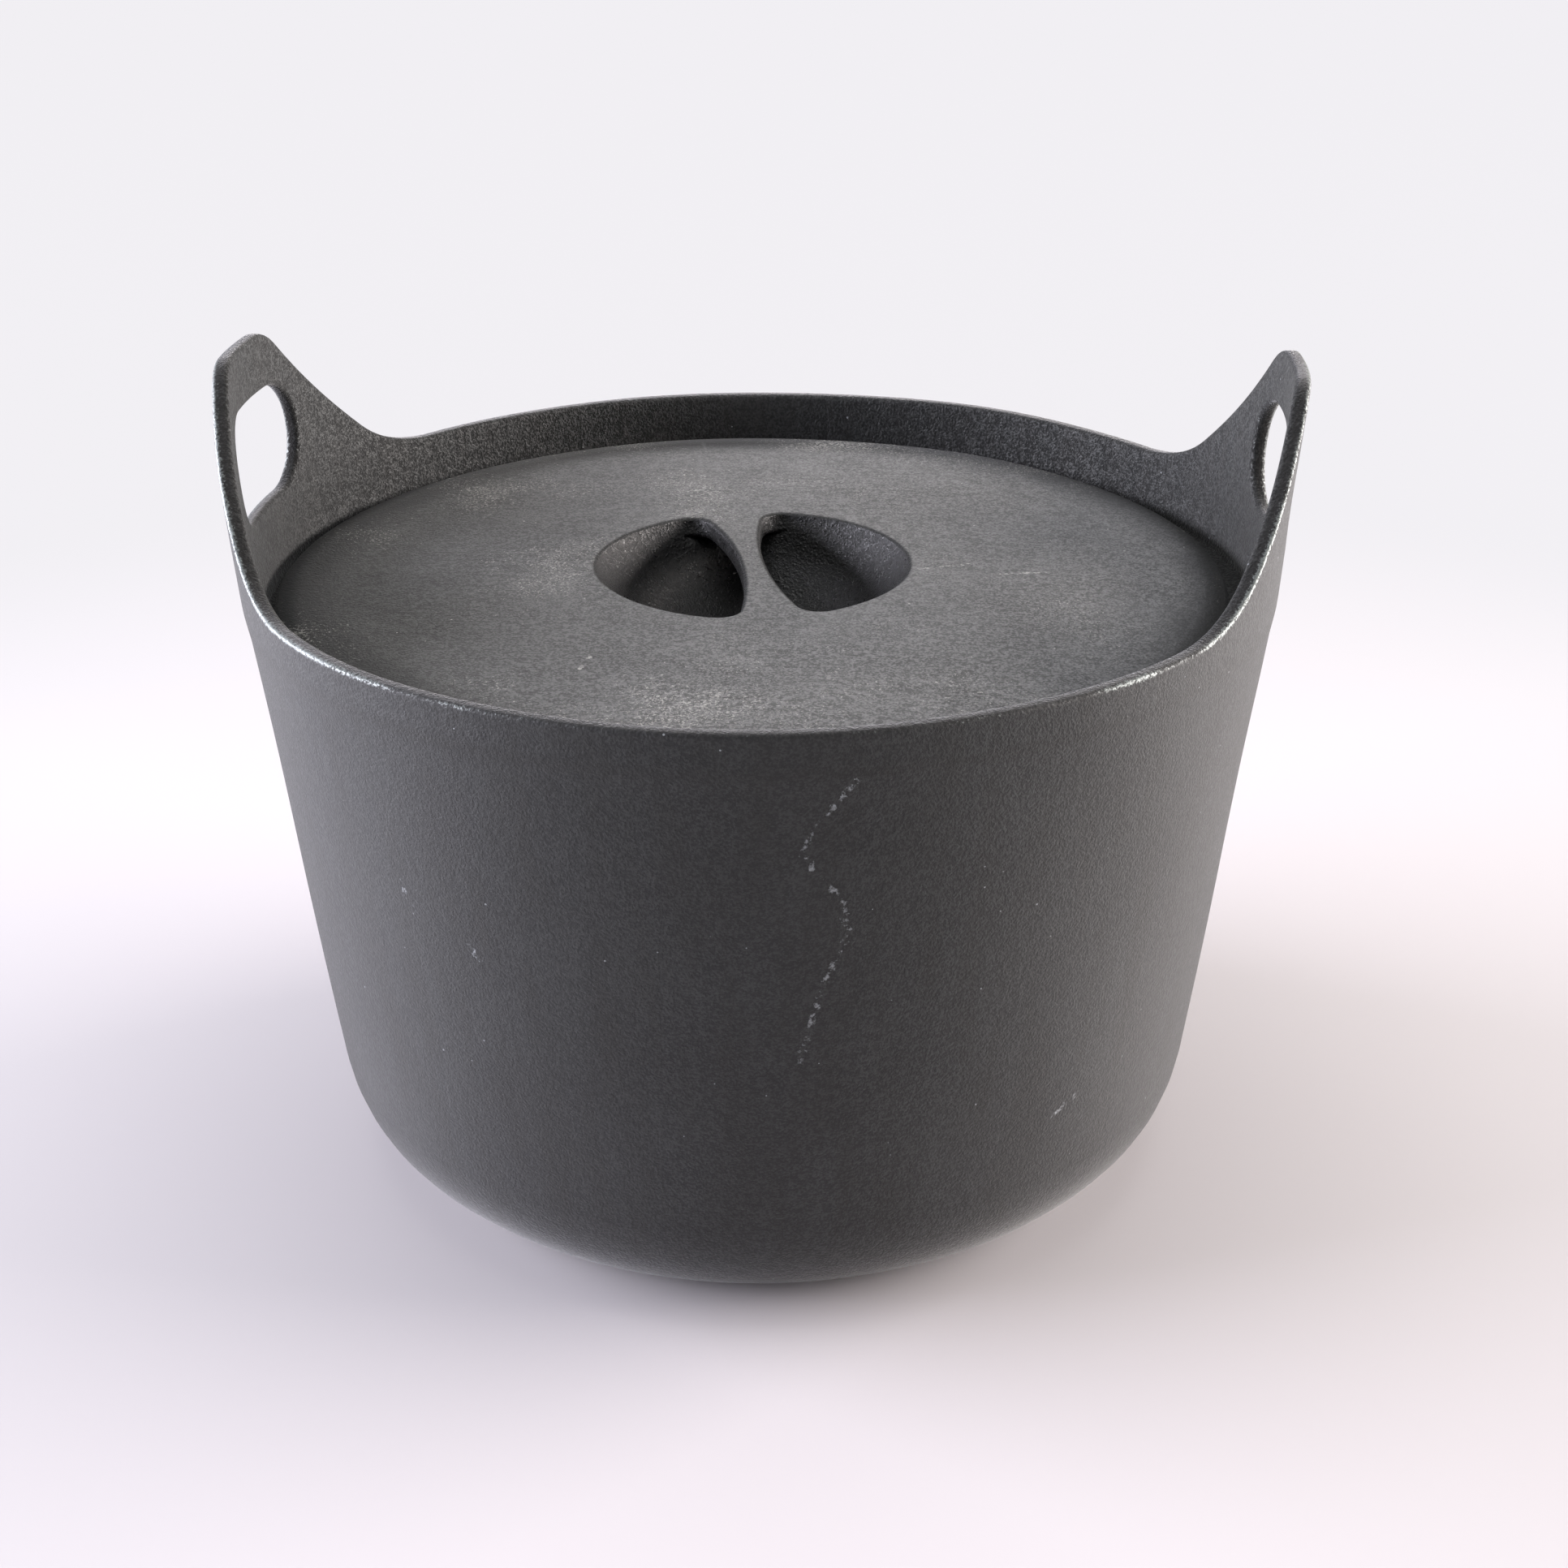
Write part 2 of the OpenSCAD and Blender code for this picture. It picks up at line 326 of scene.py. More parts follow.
def ear_height(y):
    """Height of an ear's top above the rim at y mm from its middle: a flat top, a rounded corner, a straight
    flank and a round sweep that ends level with the rim."""
    y = np.abs(y)
    flank = math.atan2(EAR_H, EAR_FOOT_HALF - EAR_TOP_HALF)
    corner = EAR_TOP_HALF - EAR_CORNER_R * math.tan(flank / 2)
    sweep = EAR_FOOT_HALF + EAR_SWEEP_R * math.tan(flank / 2)
    round_h = EAR_H - EAR_CORNER_R + np.sqrt(np.maximum(EAR_CORNER_R ** 2 - (y - corner) ** 2, 0))
    flank_h = EAR_H - (y - EAR_TOP_HALF) * math.tan(flank)
    sweep_h = EAR_SWEEP_R - np.sqrt(np.maximum(EAR_SWEEP_R ** 2 - (sweep - y) ** 2, 0))
    parts = (
        (corner, EAR_H + 0 * y),
        (corner + EAR_CORNER_R * math.sin(flank), round_h),
        (sweep - EAR_SWEEP_R * math.sin(flank), flank_h),
        (sweep, sweep_h),
    )
    return np.select([y <= end for end, _ in parts], [height for _, height in parts], 0.0)


def top_height(angles):
    """Height of the rim's and the ears' top at each angle: the ear seen along X, met by the flaring wall. The
    wall's radius and that height depend on each other, so both are worked out again until they settle."""
    z = np.full_like(angles, RIM_H)
    for _ in range(TOP_PASSES):
        z = RIM_H + ear_height(outside_r(z) * np.sin(angles))
    return z


def hole_outline(grow):
    """A hand hole's outline as (along the wall, height), grown outwards by grow: four quarter rounds joined
    by straight runs."""
    quarter = np.linspace(0, math.pi / 2, FINE // 10)
    round_r = HOLE_R + grow
    arcs = []
    for k, (side, end) in enumerate(((1, 1), (-1, 1), (-1, -1), (1, -1))):
        angle = quarter + k * math.pi / 2
        middle = np.array([side * (HOLE_W / 2 - HOLE_R), end * (HOLE_H / 2 - HOLE_R)])
        arcs.append(middle + round_r * np.stack([np.cos(angle), np.sin(angle)], -1))
    outline = np.concatenate(arcs)
    share = np.linspace(0, 1, 12, endpoint=False)[:, None, None]
    filled = outline * (1 - share) + np.roll(outline, -1, 0) * share
    return filled.transpose(1, 0, 2).reshape(-1, 2) + [0, RIM_H + HOLE_LIFT + HOLE_H / 2]


def skin(angles, z, depth):
    """Points of the ears' band: on the cone outside the wall at these angles and heights, then depth mm in
    towards the axis."""
    r = outside_r(z) - depth
    return np.stack([r * np.cos(angles), r * np.sin(angles), z], -1)


def store(mesh, name, values):
    """Keeps one number at each of a mesh's points, for its material to read."""
    mesh.attributes.new(name, "FLOAT", "POINT").data.foreach_set("value", np.asarray(values, np.float32))


def uneven(points):
    """A sand mould leaves no face quite true: each axis of a point moves by a sine of the point's own place
    along one slow wave, and the move fades out towards the foot."""
    waves = np.sin(points @ UNEVEN_WAVES.T)
    return points + UNEVEN * waves * np.clip(points[:, 2:] / UNEVEN_TRUE, 0, 1)


class Casting:
    """Blocks of surface that are joined into one closed mesh. Each point carries a mark from 0 to 1."""

    def __init__(self):
        self.points = []
        self.marks = []
        self.faces = []
        self.count = 0

    def block(self, points, mark, round_rows=False):
        """Rows and columns of points, with a face between each four neighbours. round_rows closes each row.
        The mark is one number, or one for each row."""
        rows, columns = points.shape[:2]
        index = np.arange(rows * columns).reshape(rows, columns) + self.count
        if round_rows:
            index = np.concatenate([index, index[:, :1]], 1)
        quads = np.stack([index[:-1, :-1], index[:-1, 1:], index[1:, 1:], index[1:, :-1]], -1)
        self.points.append(points.reshape(-1, 3))
        self.marks.append(np.repeat(mark * np.ones(rows), columns))
        self.faces.append(quads.reshape(-1, 4))
        self.count += rows * columns

    def finish(self, name, mark_name):
        """Joins the blocks where their points meet, turns every face outwards and makes the object."""
        mesh = bpy.data.meshes.new(name)
        places = uneven(np.concatenate(self.points)) * MM
        mesh.from_pydata(places.tolist(), [], np.concatenate(self.faces).tolist())
        store(mesh, mark_name, np.concatenate(self.marks))
        work = bmesh.new()
        work.from_mesh(mesh)
        bmesh.ops.remove_doubles(work, verts=work.verts, dist=JOIN_WITHIN)
        bmesh.ops.recalc_face_normals(work, faces=work.faces)
        work.to_mesh(mesh)
        work.free()
        mesh.shade_smooth()
        thing = bpy.data.objects.new(name, mesh)
        bpy.context.scene.collection.objects.link(thing)
        return thing


angles = np.arange(AROUND) * 2 * math.pi / AROUND
wall_inset = WALL_T / math.cos(WALL_SLOPE)
collar_inset = COLLAR_T / math.cos(COLLAR_SLOPE)
collar_low = RIM_H - COLLAR_H
ledge_low = SEAT_H - SEAT_T
ledge_out = wall_r(ledge_low) - wall_inset - SEAT_R
ledge_root = ledge_low - ledge_out / (1 + math.tan(WALL_SLOPE))

outside_path = rounded_path([
    (0, 0, 0),
    (wall_r(0), 0, FOOT_ROUND),
    (wall_r(collar_low - COLLAR_STEP), collar_low - COLLAR_STEP, COLLAR_ROUND),
    (outside_r(collar_low), collar_low, COLLAR_ROUND),
    (outside_r(BAND_LOW), BAND_LOW, 0),
])
inside_path = rounded_path([
    (outside_r(BAND_LOW) - collar_inset, BAND_LOW, 0),
    (outside_r(collar_low) - collar_inset, collar_low, RECESS_ROUND),
    (RECESS_R, SEAT_H, SEAT_ROUND),
    (SEAT_R, SEAT_H, SEAT_ROUND),
    (SEAT_R, ledge_low, SEAT_ROUND),
    (wall_r(ledge_root) - wall_inset, ledge_root, SEAT_ROOT_ROUND),
    (wall_r(FLOOR_T) - wall_inset, FLOOR_T, FOOT_ROUND - WALL_T),
    (0, FLOOR_T, 0),
])

pot_casting = Casting()
pot_casting.block(turned(outside_path, angles), 0.0, round_rows=True)
pot_casting.block(turned(inside_path, angles), 1.0, round_rows=True)

# The band above the collar, in the two stretches between the ears' hand holes
half = AROUND // 2
rise = np.linspace(0, 1, BAND_ROWS + 1)[:, None]
for first, last in ((EAR_HALF, half - EAR_HALF), (half + EAR_HALF, AROUND - EAR_HALF)):
    stretch = angles[first:last + 1]
    height = BAND_LOW + rise * (top_height(stretch) - EDGE_R - BAND_LOW)
    for inside, depth in enumerate((0.0, collar_inset)):
        pot_casting.block(skin(stretch + 0 * rise, height, depth), inside)

# The rim's and the ears' top edge: a quarter round, a flat and a quarter round
quarter = np.linspace(0, math.pi / 2, EDGE_STEPS + 1)
edge_in = EDGE_R * (1 - np.cos(quarter))
edge_up = EDGE_R * np.sin(quarter)
edge_depth = np.concatenate([edge_in, collar_inset - edge_in[::-1]])
edge_lift = np.concatenate([edge_up, edge_up[::-1]]) - EDGE_R
pot_casting.block(skin(
    angles + 0 * edge_depth[:, None],
    top_height(angles) + edge_lift[:, None],
    edge_depth[:, None],
), edge_depth / collar_inset, round_rows=True)

# Round each hand hole, rings that run from the hole's outline to the edges of its own stretch of band
ear_columns = np.arange(-EAR_HALF, EAR_HALF + 1) * 2 * math.pi / AROUND
ear_top = top_height(ear_columns) - EDGE_R
side_z = BAND_LOW + rise[1:-1, 0] * (ear_top[-1] - BAND_LOW)
border = np.concatenate([
    np.stack([ear_columns, np.full_like(ear_columns, BAND_LOW)], -1),
    np.stack([np.full_like(side_z, ear_columns[-1]), side_z], -1),
    np.stack([ear_columns[::-1], ear_top[::-1]], -1),
    np.stack([np.full_like(side_z, ear_columns[0]), side_z[::-1]], -1),
])
hole_middle = RIM_H + HOLE_LIFT + HOLE_H / 2
mid_r = outside_r(hole_middle) - collar_inset / 2
border_mm = border * [mid_r, 1.0]
ray = np.arctan2(border_mm[:, 1] - hole_middle, border_mm[:, 0])
hole_centre = np.array([0.0, hole_middle])
spread = np.linspace(0, 1, HOLE_RINGS + 1)[:, None, None] ** HOLE_CROWDING
for ear_middle in (0.0, math.pi):
    start = loop_direction(hole_outline(HOLE_EDGE_R), hole_centre, ray) / [mid_r, 1.0]
    ring = start * (1 - spread) + border * spread
    for inside, depth in enumerate((0.0, collar_inset)):
        pot_casting.block(skin(ring[..., 0] + ear_middle, ring[..., 1], depth), inside, round_rows=True)
    outlines = [hole_outline(HOLE_EDGE_R * (1 - share)) for share in np.sin(quarter)]
    lips = np.stack([loop_direction(outline, hole_centre, ray) for outline in outlines + outlines[::-1]])
    lips = lips / [mid_r, 1.0]
    lip_in = HOLE_EDGE_R * (1 - np.cos(quarter))
    sink = np.concatenate([lip_in, collar_inset - lip_in[::-1]])
    pot_casting.block(
        skin(lips[..., 0] + ear_middle, lips[..., 1], sink[:, None]),
        sink / collar_inset,
        round_rows=True,
    )

pot = pot_casting.finish("pot_casting", "inside")

# How far every point lies from the edges that hands and the lid rub: the outer and the inner edge of the
# rim and the ears, and both edges of the hand holes. An inner edge counts as further off by
# INNER_EDGE_SPARED, because it wears less.
INNER_EDGE_SPARED = 0.9
place = np.empty(len(pot.data.vertices) * 3, np.float32)
pot.data.vertices.foreach_get("co", place)
x, y, z = place.reshape(-1, 3).astype(float).T / MM
depth = outside_r(z) - np.hypot(x, y)
below_top = top_height(np.arctan2(y, x)) - z
beyond_round = np.stack([
    np.abs(y) - (HOLE_W / 2 - HOLE_R),
    np.abs(z - hole_middle) - (HOLE_H / 2 - HOLE_R),
])
off_hole = np.hypot(*np.maximum(beyond_round, 0)) + np.minimum(beyond_round.max(0), 0) - HOLE_R
from_edge = np.min([
    np.hypot(depth, below_top),
    np.hypot(collar_inset - depth, below_top) + INNER_EDGE_SPARED,
    np.hypot(depth, off_hole),
    np.hypot(collar_inset - depth, off_hole) + INNER_EDGE_SPARED,
], axis=0)
store(pot.data, "from_edge", np.where(z > collar_low, from_edge, FAR_FROM_EDGE))

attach(pot, "pot")
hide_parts("pot_foot", "pot_wall", "pot_collar", "pot_ear_left", "pot_ear_right")


# The pot's finish: sizes in millimetres, then heights of the grain, shares and roughness from 0 to 1
GRAIN = 0.6                 # the sand's grain, drawn about twice as coarse as it is so that it shows
PEBBLE = 1.7                # clumps of grains
PEBBLE_SHARE = 0.4
TOPS_FROM = 0.62            # grain heights between which its tops rise out of its pits
TOPS_TO = 0.82
RELIEF = 0.3                # depth of the grain's relief
RUBBED_RELIEF = 0.6         # how much of it is left outside
UNRUBBED_RELIEF = 1.3       # and inside
PIT_ROUGH = 0.76            # the pits outside
INSIDE_PIT_ROUGH = 0.92
TOP_GLOSS = 0.16            # how much smoother the tops are outside
INSIDE_TOP_GLOSS = 0.4
RIM_DULL = 0.3              # how much rougher the oily rim is
MOTTLE = 26.0               # patches of thicker and thinner oil
SPECK_GAP = 3.6             # between the cells that may hold a dust speck
SPECK_R = 0.21
SPECK_FREE = 0.83           # share of the cells without one
RUN_W = 7.0                 # a run of oil
RUN_SQUASH = 0.1            # its width over its height
STEP_LINE_UP = -1.0         # the painted shade line at the collar's step, from the collar's lower end
STEP_LINE_HALF = 2.6        # half its width
STEP_LINE_DARK = 0.55
RUB_PATCH = 30.0            # stretches that are rubbed more and less
RUB_RAGGED = 3.4            # how far the rub's border strays
RUB_NEAR_EARS = 0.35        # how much more of it lies towards the ears
RUB_SHINE = 0.35            # how metallic it is
RUB_ROUGH = 0.4
RING_GAP = 0.8              # grinding rings under the foot
GROUND_H = 0.05             # all that lies lower is ground
SHEEN = 0.27                # the soft glow of fine grain seen at a low angle
SHEEN_SPREAD = 0.4

IRON_PIT = "#0F0F10"
IRON_TOP = "#222323"
# The inside colours are darker than the outside's: partly unrubbed oil, partly painted shade on the inner
# faces
INSIDE_PIT = "#040505"
INSIDE_TOP = "#151817"
OIL_BROWN_AND_SHADE = "#12110F"       # thick old oil, and also painted shade on the collar's step line and in part on the rim's face
BARE_IRON = "#747A78"
CHALK = "#808386"
GROUND_IRON = "#4A4A4A"
RUBBED_OUT = 100.0          # from the middle towards an ear, where the rim is rubbed most

# Marks on the front of the wall, as runs of (x, height) points: a broken chalky trail and three scuffs
WALL_MARKS = (
    ((29, 141), (22, 132), (18, 125), (26, 113), (27, 105), (22, 93), (17, 74)),
    ((71, 46), (76, 49)),
    ((-68, 104), (-65, 97)),
    ((-53, 95), (-50, 91)),
)
WALL_MARK_REACH = (0.1, 2.0)    # a mark is fullest within the first and gone beyond the second


def casting_skin(tree, place):
    """What the sand mould and use leave all over both castings: a pebbly grain, its tops set off from its
    pits, a slow mottle in the oil, and sparse pale specks, small rounds in the middles of one in six
    Voronoi cells. Gives the grain's height, then the shares of tops, mottle and specks."""
    grain = add(tree, "TexNoise", None, {
        "Vector": place, "Scale": 1 / (GRAIN * MM), "Detail": 2.0, "Roughness": 0.6,
    })
    pebble = add(tree, "TexNoise", None, {
        "Vector": place, "Scale": 1 / (PEBBLE * MM), "Detail": 1.0, "Roughness": 0.5,
    })
    height = add(tree, "Math", TIMES_PLUS, {0: pebble, 1: PEBBLE_SHARE, 2: grain})
    tops = add(tree, "MapRange", None, {"Value": height, "From Min": TOPS_FROM, "From Max": TOPS_TO})
    mottle = add(tree, "TexNoise", None, {
        "Vector": place, "Scale": 1 / (MOTTLE * MM), "Detail": 5.0, "Roughness": 0.65,
    })
    cell = add(tree, "TexVoronoi", None, {"Vector": place, "Scale": 1 / (SPECK_GAP * MM)})
    draw = add(tree, "SeparateColor", None, {"Color": cell.outputs["Color"]})
    chosen = add(tree, "Math", {"operation": "GREATER_THAN"}, {0: draw, 1: SPECK_FREE})
    size = add(tree, "MapRange", None, {
        "Value": draw.outputs[1],
        "To Min": 0.4 * SPECK_R / SPECK_GAP, "To Max": 1.3 * SPECK_R / SPECK_GAP,
    })
    speck = add(tree, "Math", {"operation": "LESS_THAN"}, {0: cell, 1: size})
    speck = add(tree, "Math", TIMES, {0: speck, 1: chosen})
    return height, tops, mottle, speck


def from_marks(tree, flat, marks):
    """Distance in metres from the nearest straight run in a set of marks: the offset from the run's start,
    less the share of the run, between none and all of it, that lies alongside."""
    nearest = None
    for start, end in ((a, b) for mark in marks for a, b in zip(mark[:-1], mark[1:])):
        start = np.array(start) * MM
        run = np.array(end) * MM - start
        offset = add(tree, "VectorMath", {"operation": "SUBTRACT"}, {0: flat, 1: tuple(start)})
        share = add(tree, "VectorMath", {"operation": "DOT_PRODUCT"}, {
            0: offset, 1: tuple(run / (run @ run)),
        })
        share = add(tree, "Clamp", None, {"Value": share.outputs["Value"]})
        alongside = add(tree, "VectorMath", {"operation": "SCALE"}, {0: tuple(run), "Scale": share})
        gap = add(tree, "VectorMath", {"operation": "DISTANCE"}, {
            0: offset, 1: alongside,
        }).outputs["Value"]
        if nearest is not None:
            gap = add(tree, "Math", {"operation": "MINIMUM"}, {0: nearest, 1: gap})
        nearest = gap
    return nearest


def chalked(tree, place, reach, near, far):
    """Chalk that caught on the grain's high spots along a mark: most within near, none beyond far, and broken
    up by a noise three times as coarse as the grain."""
    along = add(tree, "MapRange", SMOOTH, {
        "Value": reach, "From Min": near * MM, "From Max": far * MM, "To Min": 1.0, "To Max": 0.0,
    })
    broken = add(tree, "TexNoise", None, {
        "Vector": place, "Scale": 1 / (3 * GRAIN * MM), "Detail": 3.0, "Roughness": 0.7,
    })
    caught = add(tree, "Math", TIMES_PLUS, {0: along, 1: 0.28, 2: broken})
    caught = add(tree, "MapRange", None, {"Value": caught, "From Min": 0.79, "From Max": 0.93})
    return caught


def laid_over(tree, colour, layers):
    """A colour with others laid over it in turn, each by its own share."""
    for share, code in layers:
        mixed = add(tree, "Mix", {"data_type": "RGBA"}, {0: share, 6: colour, 7: linear(code)})
        colour = mixed.outputs[2]
    return colour


def oiled_sand_cast_iron():
    """Grey iron cast in sand, then oiled and baked in use. It gives the eye a near-black, barely shiny skin
    with a fine pebbly grain, bolder inside where nothing has rubbed it, and speckled bare metal along the
    edges."""
    made, tree = fresh_material("oiled_sand_cast_iron")
    place = add(tree, "TexCoord").outputs["Object"]
    axes = add(tree, "SeparateXYZ", None, {"Vector": place})
    grain, tops, mottle, speck = casting_skin(tree, place)
    inside = add(tree, "Attribute", {"attribute_name": "inside"}).outputs["Fac"]

    # The rim's top face lies half way between outside and inside, and old oil gathers on it; its dark colour
    # is partly that oil and partly painted shade
    on_rim = add(tree, "MapRange", None, {"Value": inside, "From Max": 0.5})
    off_rim = add(tree, "MapRange", None, {
        "Value": inside, "From Min": 0.5, "To Min": 1.0, "To Max": 0.0,
    })
    rim_face = add(tree, "Math", {"operation": "MINIMUM"}, {0: on_rim, 1: off_rim})

    # Runs of oil down the wall
    tall = add(tree, "VectorMath", TIMES, {0: place, 1: (1.0, 1.0, RUN_SQUASH)})
    runs = add(tree, "TexNoise", None, {
        "Vector": tall, "Scale": 1 / (RUN_W * MM), "Detail": 4.0, "Roughness": 0.65,
    })
    runs = add(tree, "MapRange", None, {
        "Value": runs, "From Min": 0.42, "From Max": 0.75, "To Max": 0.9,
    })

    # Painted shade: the faint dark line where the collar steps in to the wall, laid on in the oil's brown
    to_step = add(tree, "Math", {"operation": "SUBTRACT"}, {
        0: axes.outputs["Z"], 1: (collar_low + STEP_LINE_UP) * MM,
    })
    to_step = add(tree, "Math", {"operation": "ABSOLUTE"}, {0: to_step})
    step_shade = add(tree, "MapRange", SMOOTH, {
        "Value": to_step,
        "From Max": STEP_LINE_HALF * MM, "To Min": STEP_LINE_DARK, "To Max": 0.0,
    })
    step_shade = add(tree, "Math", {"operation": "MULTIPLY_ADD", "use_clamp": True}, {
        0: inside, 1: -1.0, 2: step_shade,
    })

    # Bare metal on the edges: a ragged line that comes and goes, mostly on the ears' side of the rim
    from_edge = add(tree, "Attribute", {"attribute_name": "from_edge"}).outputs["Fac"]
    ragged = add(tree, "TexNoise", None, {
        "Vector": place, "Scale": 1 / (GRAIN * MM), "Detail": 4.0, "Roughness": 0.75,
    })
    patchy = add(tree, "TexNoise", None, {"Vector": place, "Scale": 1 / (RUB_PATCH * MM), "Detail": 2.0})
    sideways = add(tree, "Math", {"operation": "ABSOLUTE"}, {0: axes.outputs["X"]})
    patchy = add(tree, "Math", TIMES_PLUS, {
        0: sideways, 1: RUB_NEAR_EARS / (RUBBED_OUT * MM), 2: patchy,
    })
    patchy = add(tree, "MapRange", None, {
        "Value": patchy, "From Min": 0.5, "From Max": 0.85, "To Min": -1.2, "To Max": 0.2,
    })
    rub = add(tree, "Math", TIMES_PLUS, {0: ragged, 1: RUB_RAGGED, 2: patchy})
    rub = add(tree, "Math", {"operation": "SUBTRACT"}, {0: rub, 1: from_edge})
    rub = add(tree, "MapRange", None, {"Value": rub, "From Min": 0.95, "From Max": 1.5})
    bare = add(tree, "Math", TIMES, {0: rub, 1: RUB_SHINE})

    # Chalky marks, which lie on the front of the wall only
    flat = add(tree, "CombineXYZ", None, {"X": axes.outputs["X"], "Y": axes.outputs["Z"]})
    marks = [[(*point, 0) for point in mark] for mark in WALL_MARKS]
    chalk = chalked(tree, place, from_marks(tree, flat, marks), *WALL_MARK_REACH)
    front = add(tree, "Math", {"operation": "LESS_THAN"}, {0: axes.outputs["Y"], 1: 0.0})
    chalk = add(tree, "Math", TIMES, {0: chalk, 1: front})

    # The foot is ground flat, and its rings show
    across = add(tree, "CombineXYZ", None, {"X": axes.outputs["X"], "Y": axes.outputs["Y"]})
    radius = add(tree, "VectorMath", {"operation": "LENGTH"}, {0: across})
    rings = add(tree, "TexNoise", {"noise_dimensions": "1D"}, {
        "W": radius.outputs["Value"], "Scale": 1 / (RING_GAP * MM), "Detail": 2.0,
    })
    ground = add(tree, "Math", {"operation": "LESS_THAN"}, {0: axes.outputs["Z"], 1: GROUND_H * MM})
    ground_share = add(tree, "Math", TIMES, {0: ground, 1: rings})

    # The oil is thickest in the grain's pits and in the mottle's darker patches
    tone = add(tree, "Math", TIMES_PLUS, {0: mottle, 1: 2.0, 2: tops})
    tone = add(tree, "MapRange", None, {"Value": tone, "From Min": 0.7, "From Max": 2.1})
    # The inside is painted darker than the outside, partly unrubbed oil and partly painted shade
    inner = laid_over(tree, linear(INSIDE_PIT), ((tops, INSIDE_TOP),))
    outer = laid_over(tree, linear(IRON_PIT), ((tone, IRON_TOP),))
    bare_skin = add(tree, "Mix", {"data_type": "RGBA"}, {0: inside, 6: outer, 7: inner})
    colour = laid_over(tree, bare_skin.outputs[2], (
        (runs, OIL_BROWN_AND_SHADE),
        (step_shade, OIL_BROWN_AND_SHADE),
        (rim_face, OIL_BROWN_AND_SHADE),
        (ground_share, GROUND_IRON),
        (speck, CHALK),
        (chalk, CHALK),
        (rub, BARE_IRON),
    ))
    relief = add(tree, "MapRange", None, {
        "Value": inside, "To Min": RUBBED_RELIEF, "To Max": UNRUBBED_RELIEF,
    })
    height = add(tree, "Math", TIMES, {0: grain, 1: relief})
    bump = add(tree, "Bump", None, {"Height": height, "Distance": RELIEF * MM})
    # The tops are glossier than the pits, more so inside, and the oily rim is duller
    pit_rough = add(tree, "MapRange", None, {
        "Value": inside, "To Min": PIT_ROUGH, "To Max": INSIDE_PIT_ROUGH,
    })
    top_gloss = add(tree, "MapRange", None, {
        "Value": inside, "To Min": -TOP_GLOSS, "To Max": -INSIDE_TOP_GLOSS,
    })
    gloss = add(tree, "Math", TIMES_PLUS, {0: tops, 1: top_gloss, 2: pit_rough})
    gloss = add(tree, "Math", TIMES_PLUS, {0: rim_face, 1: RIM_DULL, 2: gloss})
    gloss = add(tree, "Mix", None, {0: rub, 2: gloss, 3: RUB_ROUGH})
    shade = add(tree, "BsdfPrincipled", None, {
        "Base Color": colour,
        "Metallic": bare,
        "Roughness": gloss,
        "Normal": bump.outputs["Normal"],
        "Sheen Weight": SHEEN,
        "Sheen Roughness": SHEEN_SPREAD,
    })
    add(tree, "OutputMaterial", None, {"Surface": shade})
    return made


pot.data.materials.append(oiled_sand_cast_iron())


# ---------------------------------------------------------------- the lid
# A second sand casting of grey iron: a thin crowned plate with a locating lip underneath, and a
# grip bowl sunk into its middle with a waisted bar left across the mouth. It lies loose.
LID_R = 110.5
LID_T = 4.5
LID_CROWN = 3.0
LIP_R = 103.5
LIP_T = 4.0
LIP_H = 5.0
MOUTH_R = 36.5
BOWL_DEPTH = 26.0
BOWL_T = 4.0
BAR_HALF = 3.0              # half the bar's width at its waist
BAR_SIDE_R = 125.0          # the arch of each of its sides
POCKET_CORNER_R = 5.0
POCKET_EDGE_R = 1.2         # the soft round on the pockets' upper edges
LID_EDGE_R = 1.0
LID_CORNER_R = 0.6          # the small rounds of the edge
LID_SEAT_R = 0.4            # and of the corner that stands on the ledge
LIP_CORNER_R = 0.8
LIP_ROOT_R = 1.0
LID_TURN = math.radians(12.6)   # how it happens to lie in its seat
LID_SHIFT = 1.9
HUB_R = 39.0                # where the bowl's outside meets the plate's underside
PLAIN_OUT = 80.0            # the plain part of the plate's underside, from its outer radius
PLAIN_IN = 42.0             # to its inner one

MOUTH_SIDE = 150            # points round a pocket that face the lid's edge
BAR_SIDE = 90               # points round a pocket that face the bar
CORNER_SIDE = 24            # points from one of those runs to the other
PLATE_RINGS = 22
PLATE_CROWDING = 1.6        # above 1, the rings crowd towards the pocket
POCKET_EDGE_STEPS = 5
POCKET_WALL_STEPS = 4
BOWL_RINGS = 16
BAR_ACROSS = 8
BAR_BEND = 0.8              # share of the bar's half length beyond which its rows bend
PLAIN_RINGS = 5
CAP_RINGS = 19              # outside the bowl
DRY_EDGE_ROWS = 3           # rows of the lid's edge over which the dry top ends
NEARLY = 1e-6
DRY_FADE = 6                # how quickly the dry top turns to the pocket's black, partly oil and partly painted shade, on the pocket's edge

lid_top = SEAT_H + LID_T + LID_CROWN
bar_low = lid_top - LID_T
bowl_r = (MOUTH_R ** 2 + BOWL_DEPTH ** 2) / (2 * BOWL_DEPTH)
bowl_middle = lid_top - BOWL_DEPTH + bowl_r
under_r = math.sqrt(bowl_r ** 2 - (bowl_middle - bar_low) ** 2)
POCKET_EYE = np.array([18.0, 0.0])      # a point that sees all of its pocket's outline


def crown(r):
    """Height of the lid's upper face at radius r: a shallow dome that falls by the square of the radius."""
    return SEAT_H + LID_T + LID_CROWN * (1 - (r / LID_R) ** 2)


def plate_low(r):
    """Height of the plate's underside at radius r."""
    return crown(r) - LID_T


